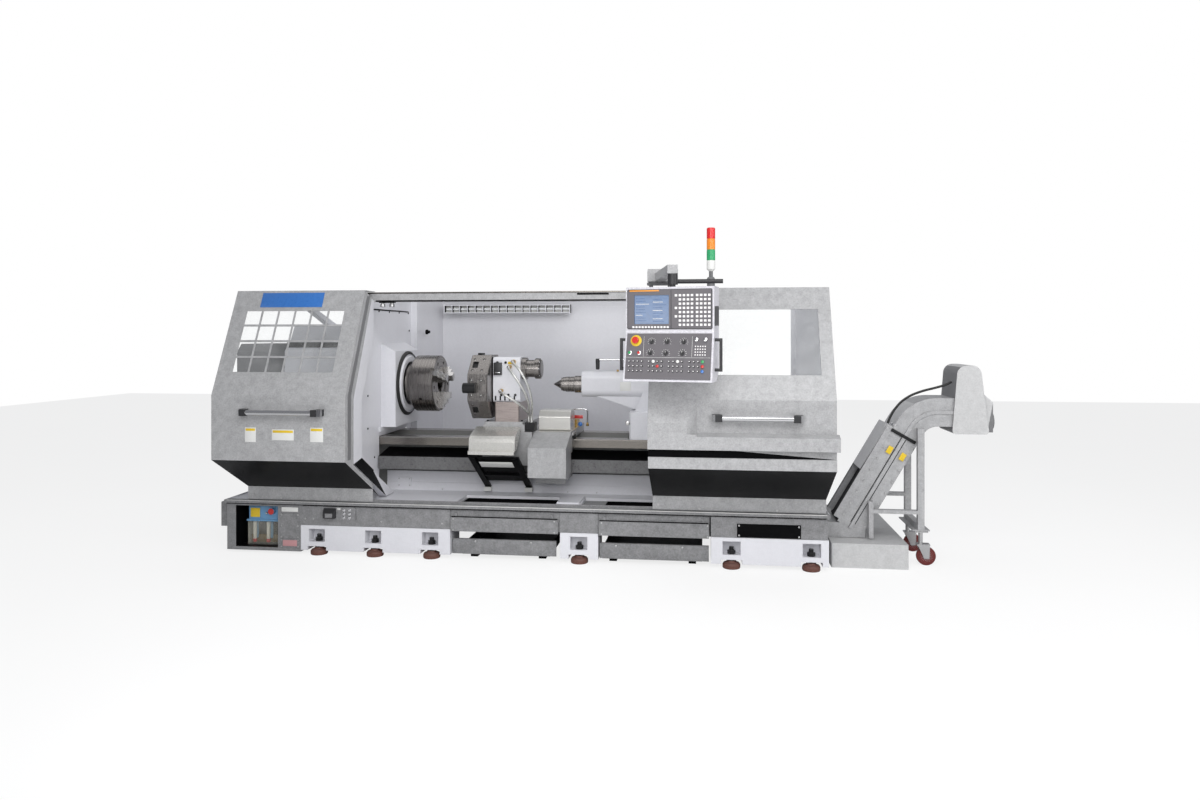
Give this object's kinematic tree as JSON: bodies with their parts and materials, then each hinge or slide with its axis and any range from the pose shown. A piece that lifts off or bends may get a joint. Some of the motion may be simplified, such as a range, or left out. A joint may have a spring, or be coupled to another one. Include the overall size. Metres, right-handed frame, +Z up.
{
  "type": "cnc turning lathe",
  "caption": "Flat-bed CNC turning lathe with sliding splash doors, three-jaw chuck, tool turret, tailstock, control pendant and inclined chip conveyor",
  "frame": {"origin": "on the floor under the middle of the whole machine's bounding box", "axes": "X along the bed from headstock to tailstock, Y from the doors to the back wall, Z up"},
  "size_m": [5.39, 2.783, 2.237],
  "materials": {
    "white_paint": "satin light grey-white enamel",
    "grey_paint": "fine textured machine grey enamel",
    "black_paint": "semi-gloss black enamel",
    "oxide_paint": "red-brown primer",
    "cast_iron": "ground and oiled iron",
    "bright_steel": "brushed, lightly oiled",
    "chrome": "polished",
    "blue_paint": "satin blue enamel",
    "oil_plastic": "clear amber reservoir",
    "pane": "clear safety pane",
    "rubber": "matte black rubber",
    "hose": "braided steel sleeve",
    "panel_plastic": "fine textured plastic",
    "red_plastic": "gloss",
    "green_plastic": "gloss",
    "lens": "ribbed translucent lens",
    "wheel_red": "moulded polyurethane"
  },
  "bodies": {
    "machine": {"foot_blocks": "white_paint", "levelling_feet": "oxide_paint", "base_frame": "grey_paint", "left_cabinet": "grey_paint", "lubrication_pump": "blue_paint", "oil_reservoir": "oil_plastic", "chip_tray": "white_paint", "bed_casting": "cast_iron", "headstock": "white_paint", "spindle_seal": "rubber", "left_wall": "white_paint", "rear_walls": "white_paint", "top_beam": "white_paint", "work_lamp": "white_paint", "signal_tower": "lens", "electrical_cabinet": "white_paint", "conveyor_sump": "white_paint", "conveyor_body": "grey_paint", "conveyor_hood": "grey_paint", "conveyor_cable": "rubber", "conveyor_stand": "grey_paint"},
    "cabinet_door": {"cabinet_door": "white_paint"},
    "coolant_tank_left": {"coolant_tank_left": "grey_paint"},
    "coolant_tank_right": {"coolant_tank_right": "grey_paint"},
    "feed_screw": {"ball_screw": "bright_steel"},
    "chuck": {"spindle": "bright_steel", "chuck_body": "bright_steel"},
    "jaw_1": {"chuck_jaw_1": "bright_steel"},
    "jaw_2": {"chuck_jaw_2": "bright_steel"},
    "jaw_3": {"chuck_jaw_3": "bright_steel"},
    "left_door": {"left_door": "grey_paint", "left_window": "pane", "left_handle": "chrome"},
    "right_door": {"right_door": "grey_paint", "right_window": "pane", "right_handle": "chrome"},
    "carriage": {"carriage": "grey_paint", "nut_arm": "cast_iron", "chip_guard": "black_paint"},
    "cross_slide": {"cross_slide": "grey_paint", "slide_cover": "bright_steel", "turret_housing": "white_paint", "turret_hoses": "hose"},
    "turret": {"turret_disc": "bright_steel", "tool_holders": "black_paint"},
    "tailstock": {"tailstock": "white_paint"},
    "quill": {"quill": "bright_steel"},
    "live_centre": {"live_centre": "bright_steel"},
    "clamp_lever": {"clamp_lever": "chrome"},
    "pendant_arm": {"pendant_arm": "grey_paint"},
    "pendant": {"pendant_housing": "grey_paint", "control_unit": "panel_plastic", "operator_panel": "panel_plastic"},
    "emergency_stop": {"emergency_stop": "red_plastic"},
    "green_button": {"green_button": "green_plastic"},
    "red_button": {"red_button": "red_plastic"},
    "front_caster": {"front_caster_fork": "bright_steel"},
    "front_wheel": {"front_caster_wheel": "wheel_red"},
    "rear_caster": {"rear_caster_fork": "bright_steel"},
    "rear_wheel": {"rear_caster_wheel": "wheel_red"}
  },
  "joints": [
    {"name": "left_door_slide", "type": "slide", "parent": "machine", "child": "left_door", "axis": [1, 0, 0], "range_m": [0, 0.86]},
    {"name": "right_door_slide", "type": "slide", "parent": "machine", "child": "right_door", "axis": [-1, 0, 0], "range_m": [0, 1.065]},
    {"name": "spindle_spin", "type": "hinge", "parent": "machine", "child": "chuck", "pos_m": [-1.403, 0.1195, 1.157], "axis": [1, 0, 0], "continuous": true},
    {"name": "jaw_1_slide", "type": "slide", "parent": "chuck", "child": "jaw_1", "axis": [0, -0.8829, 0.4695], "range_m": [-0.02, 0.02]},
    {"name": "jaw_2_slide", "type": "slide", "parent": "chuck", "child": "jaw_2", "axis": [0, 0.0349, -0.9994], "range_m": [-0.02, 0.02]},
    {"name": "jaw_3_slide", "type": "slide", "parent": "chuck", "child": "jaw_3", "axis": [0, 0.848, 0.5299], "range_m": [-0.02, 0.02]},
    {"name": "carriage_travel", "type": "slide", "parent": "machine", "child": "carriage", "axis": [1, 0, 0], "range_m": [-0.22, 0.3]},
    {"name": "feed_screw_spin", "type": "hinge", "parent": "machine", "child": "feed_screw", "pos_m": [-1.535, -0.1055, 0.6], "axis": [1, 0, 0], "continuous": true},
    {"name": "cross_slide_travel", "type": "slide", "parent": "carriage", "child": "cross_slide", "axis": [0, 1, 0], "range_m": [-0.3, 0]},
    {"name": "turret_index", "type": "hinge", "parent": "cross_slide", "child": "turret", "pos_m": [-0.775, -0.1705, 1.157], "axis": [1, 0, 0], "continuous": true},
    {"name": "tailstock_travel", "type": "slide", "parent": "machine", "child": "tailstock", "axis": [1, 0, 0], "range_m": [0, 0.58]},
    {"name": "quill_travel", "type": "slide", "parent": "tailstock", "child": "quill", "axis": [-1, 0, 0], "range_m": [0, 0.1]},
    {"name": "live_centre_spin", "type": "hinge", "parent": "quill", "child": "live_centre", "pos_m": [-0.245, 0.1195, 1.157], "axis": [1, 0, 0], "continuous": true},
    {"name": "clamp_lever_turn", "type": "hinge", "parent": "tailstock", "child": "clamp_lever", "pos_m": [0.215, 0.0895, 1.3], "axis": [0, 0, 1], "range_deg": [0, 70]},
    {"name": "pendant_arm_swivel", "type": "hinge", "parent": "machine", "child": "pendant_arm", "pos_m": [0.495, -0.4805, 1.9], "axis": [0, 0, 1], "range_deg": [-20, 20]},
    {"name": "pendant_swivel", "type": "hinge", "parent": "pendant_arm", "child": "pendant", "pos_m": [0.605, -1.2005, 1.83], "axis": [0, 0, 1], "range_deg": [-15, 15]},
    {"name": "emergency_stop_press", "type": "slide", "parent": "pendant", "child": "emergency_stop", "axis": [0.2035, 0.9573, -0.2053], "range_m": [0, 0.006]},
    {"name": "green_button_press", "type": "slide", "parent": "pendant", "child": "green_button", "axis": [0.2035, 0.9573, -0.2053], "range_m": [0, 0.004], "stiffness_N_per_m": 600},
    {"name": "red_button_press", "type": "slide", "parent": "pendant", "child": "red_button", "axis": [0.2035, 0.9573, -0.2053], "range_m": [0, 0.004], "stiffness_N_per_m": 600},
    {"name": "cabinet_door_hinge", "type": "hinge", "parent": "machine", "child": "cabinet_door", "pos_m": [-0.645, 1.3695, 1.14], "axis": [0, 0, 1], "range_deg": [0, 110]},
    {"name": "left_tank_slide", "type": "slide", "parent": "machine", "child": "coolant_tank_left", "axis": [0, -1, 0], "range_m": [0, 0.7]},
    {"name": "right_tank_slide", "type": "slide", "parent": "machine", "child": "coolant_tank_right", "axis": [0, -1, 0], "range_m": [0, 0.7]},
    {"name": "front_caster_swivel", "type": "hinge", "parent": "machine", "child": "front_caster", "pos_m": [2.211, -0.301, 0.2], "axis": [0, 0, 1], "continuous": true},
    {"name": "front_wheel_roll", "type": "hinge", "parent": "front_caster", "child": "front_wheel", "pos_m": [2.245, -0.301, 0.062], "axis": [0, 1, 0], "continuous": true},
    {"name": "rear_caster_swivel", "type": "hinge", "parent": "machine", "child": "rear_caster", "pos_m": [2.211, 0.06, 0.2], "axis": [0, 0, 1], "continuous": true},
    {"name": "rear_wheel_roll", "type": "hinge", "parent": "rear_caster", "child": "rear_wheel", "pos_m": [2.245, 0.06, 0.062], "axis": [0, 1, 0], "continuous": true}
  ],
  "couplings": [
    {"joint": "jaw_2_slide", "follows": "jaw_1_slide", "ratio": 1},
    {"joint": "jaw_3_slide", "follows": "jaw_1_slide", "ratio": 1}
  ]
}
